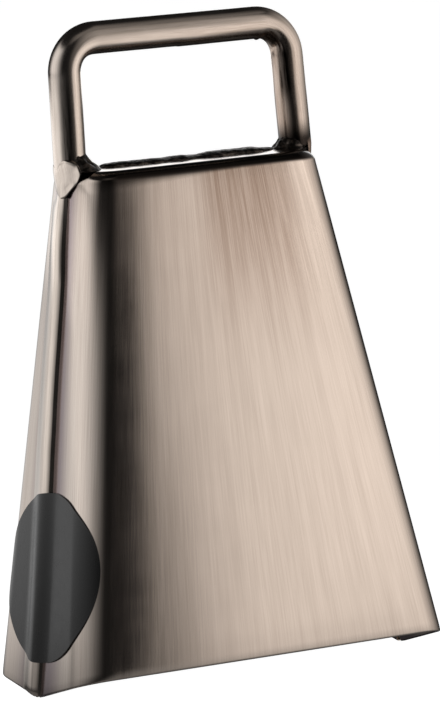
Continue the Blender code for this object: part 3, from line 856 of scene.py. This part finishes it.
def film_label(name, node, material):
    """Disc of film, skinned on both sides and round its cut edge."""
    rows, grain = [], []
    rings = [(scale, LABEL_FACE) for scale in shares(LABEL_RINGS)[1:]]
    rings += [(scale, LABEL_UNDER) for scale in reversed(shares(LABEL_RINGS)[1:])]
    for scale, lift in rings:
        row, places = [], []
        for share in shares(LABEL_SPOKES):
            turn = 2 * math.pi * share
            along = LABEL_OFFSET + LABEL_RADIUS * scale * math.cos(turn)
            up = LABEL_RADIUS * scale * math.sin(turn)
            row.append(label_point(along, LABEL_Z + up, lift))
            places.append((along / MM, up / MM))
        rows.append(row[:-1])
        grain.append(places)
    bm = bmesh.new()
    verts = skin(bm, rows, grain, wrap=True)
    bm.faces.new(verts[0])
    bm.faces.new(verts[-1])
    add_piece(name, bm, material, node)


film_label("label", "side_label", satin_vinyl("satin_black_vinyl_film"))


# Studio
# Plain pale floor in a dim room, with sheets of lit diffuser cloth bent round the bell: tall ones at the
# left and right, lower ones behind, and weak ones high in front and below. The camera is low and to the
# left, as in the photograph.

PHOTO_WIDTH, PHOTO_HEIGHT = 440, 702
FOCAL_PIXELS = 6296.66
CAMERA_DISTANCE = 1540.1 * MM
CAMERA_TURN, CAMERA_TILT, CAMERA_ROLL = math.radians(29.48), math.radians(4.99), math.radians(-4.47)
AIM_RIGHT, AIM_UP = 5.09 * MM, -3.11 * MM
AIM_Z = 81.38 * MM
FLOOR_HALF = 20.0
ROOM_GREY = (0.014, 0.014, 0.014, 1)
LIGHT_RING = 170 * MM
PANEL_STEP = 6  # degrees between the bends of a panel
WARM_WHITE, WHITE = "#fff8f2", "#ffffff"


def add_camera():
    """Camera with the photograph's view of the bell."""
    level = math.cos(CAMERA_TILT)
    back = Vector((-math.sin(CAMERA_TURN) * level, -math.cos(CAMERA_TURN) * level, math.sin(CAMERA_TILT)))
    right = back.cross(Vector((0, 0, -1))).normalized()
    up = back.cross(right)
    target = Vector((0.0, 0.0, AIM_Z)) + right * AIM_RIGHT + up * AIM_UP
    right, up = (right * math.cos(CAMERA_ROLL) + up * math.sin(CAMERA_ROLL),
                 up * math.cos(CAMERA_ROLL) - right * math.sin(CAMERA_ROLL))
    data = bpy.data.cameras.new("camera")
    data.sensor_width = 36.0
    data.lens = FOCAL_PIXELS * data.sensor_width / max(PHOTO_WIDTH, PHOTO_HEIGHT)
    data.clip_start, data.clip_end = 0.01, 50.0
    camera = bpy.data.objects.new("camera", data)
    turned = Matrix((right, up, back)).transposed().to_4x4()
    camera.matrix_world = Matrix.Translation(target + back * CAMERA_DISTANCE) @ turned
    bpy.context.scene.collection.objects.link(camera)
    bpy.context.scene.camera = camera


def soft_panel(name, azimuths, heights, fades, brightness, colour):
    """Sheet of lit diffuser cloth, bent round the bell between two azimuths and two heights. Azimuth 0 is in
    front and 90 on the right, heights are in millimetres, and the light fades in from the left, right, lower
    and upper edges over the given degrees and millimetres."""
    left, right = azimuths
    low, high = heights
    turns = [left + (right - left) * share for share in shares(math.ceil((right - left) / PANEL_STEP))]
    rows, grain = [], []
    for height in heights:
        rows.append([(LIGHT_RING * math.sin(math.radians(turn)), -LIGHT_RING * math.cos(math.radians(turn)),
                      height * MM) for turn in turns])
        grain.append([(turn, height) for turn in turns])
    bm = bmesh.new()
    skin(bm, rows, grain)
    mesh = bpy.data.meshes.new(name)
    bm.to_mesh(mesh)
    bm.free()
    material, tree, _ = new_material("lit_diffuser_cloth")
    place = add_node(tree, "UVMap", {}, {})
    azimuth, level = add_node(tree, "SeparateXYZ", {}, {0: place.outputs[0]}).outputs[:2]
    strength = faded(tree, brightness, (
        (azimuth, left, left + fades[0], 0.0), (azimuth, right, right - fades[1], 0.0),
        (level, low, low + fades[2], 0.0), (level, high, high - fades[3], 0.0)))
    glow = add_node(tree, "Emission", {}, {"Color": linear(colour), "Strength": strength})
    clear = add_node(tree, "BsdfTransparent", {}, {})
    both = add_node(tree, "AddShader", {}, {0: glow.outputs[0], 1: clear.outputs[0]})
    tree.links.new(both.outputs[0], tree.nodes["Material Output"].inputs["Surface"])
    mesh.materials.append(material)
    panel = bpy.data.objects.new(name, mesh)
    panel.visible_camera = False
    bpy.context.scene.collection.objects.link(panel)


def add_floor():
    """Wide pale floor that reads white to the camera, with only a faint shadow under the bell."""
    mesh = bpy.data.meshes.new("floor")
    corners = [(-1, -1), (1, -1), (1, 1), (-1, 1)]
    mesh.from_pydata([(FLOOR_HALF * x, FLOOR_HALF * y, 0) for x, y in corners], [], [(0, 1, 2, 3)])
    material, _, shader = new_material("pale_floor")
    shader.inputs["Base Color"].default_value = linear("#a0a0a0")
    shader.inputs["Roughness"].default_value = 0.9
    shader.inputs["Emission Color"].default_value = (1, 1, 1, 1)
    shader.inputs["Emission Strength"].default_value = 1.0
    mesh.materials.append(material)
    floor = bpy.data.objects.new("floor", mesh)
    floor.visible_glossy = False
    floor.visible_shadow = False
    bpy.context.scene.collection.objects.link(floor)


def add_room():
    """Surroundings: white to the camera, a dim grey room to everything else."""
    world = bpy.data.worlds.new("room")
    world.use_nodes = True
    tree = world.node_tree
    room = tree.nodes["Background"]
    room.inputs["Color"].default_value = ROOM_GREY
    sweep = add_node(tree, "Background", {}, {"Color": (1, 1, 1, 1), "Strength": 1.0})
    path = add_node(tree, "LightPath", {}, {})
    mixed = add_node(tree, "MixShader", {}, {0: path.outputs["Is Camera Ray"], 1: room.outputs[0],
                                             2: sweep.outputs[0]})
    tree.links.new(mixed.outputs[0], tree.nodes["World Output"].inputs["Surface"])
    bpy.context.scene.world = world


add_camera()
add_floor()
add_room()
soft_panel("right_panel", (12, 113), (-85, 240), (13, 77, 95, 130), 1.06, WARM_WHITE)
soft_panel("right_far_panel", (22, 113), (-20, 160), (18, 60, 80, 50), 0.28, WARM_WHITE)
soft_panel("right_high_panel", (35, 135), (105, 345), (10, 55, 60, 170), 0.7, WARM_WHITE)
soft_panel("front_high_panel", (-20, 63), (90, 345), (46, 27, 140, 15), 0.4, WARM_WHITE)
soft_panel("front_top_panel", (-70, 110), (330, 640), (60, 50, 15, 60), 0.2, WARM_WHITE)
soft_panel("left_panel", (-141, -20), (-18, 158), (14, 95, 98, 45), 1.15, WHITE)
soft_panel("left_rod_panel", (-139, -55), (110, 158), (12, 50, 36, 9), 0.9, WHITE)
soft_panel("left_high_panel", (-152, -52), (152, 345), (38, 52, 8, 70), 1.2, WHITE)
soft_panel("back_left_panel", (-208, -127), (-20, 142), (55, 14, 44, 9), 0.85, WHITE)
soft_panel("back_left_high_panel", (-200, -125), (98, 148), (40, 12, 16, 9), 0.7, WHITE)
soft_panel("back_far_panel", (-236, -175), (95, 172), (28, 40, 16, 30), 0.6, WHITE)
soft_panel("back_right_panel", (115, 172), (130, 215), (12, 8, 6, 40), 1.5, WHITE)
soft_panel("low_panel", (-213, 157), (-350, 0), (89, 100, 1, 45), 0.14, WHITE)
bpy.context.scene.view_settings.view_transform = "Standard"
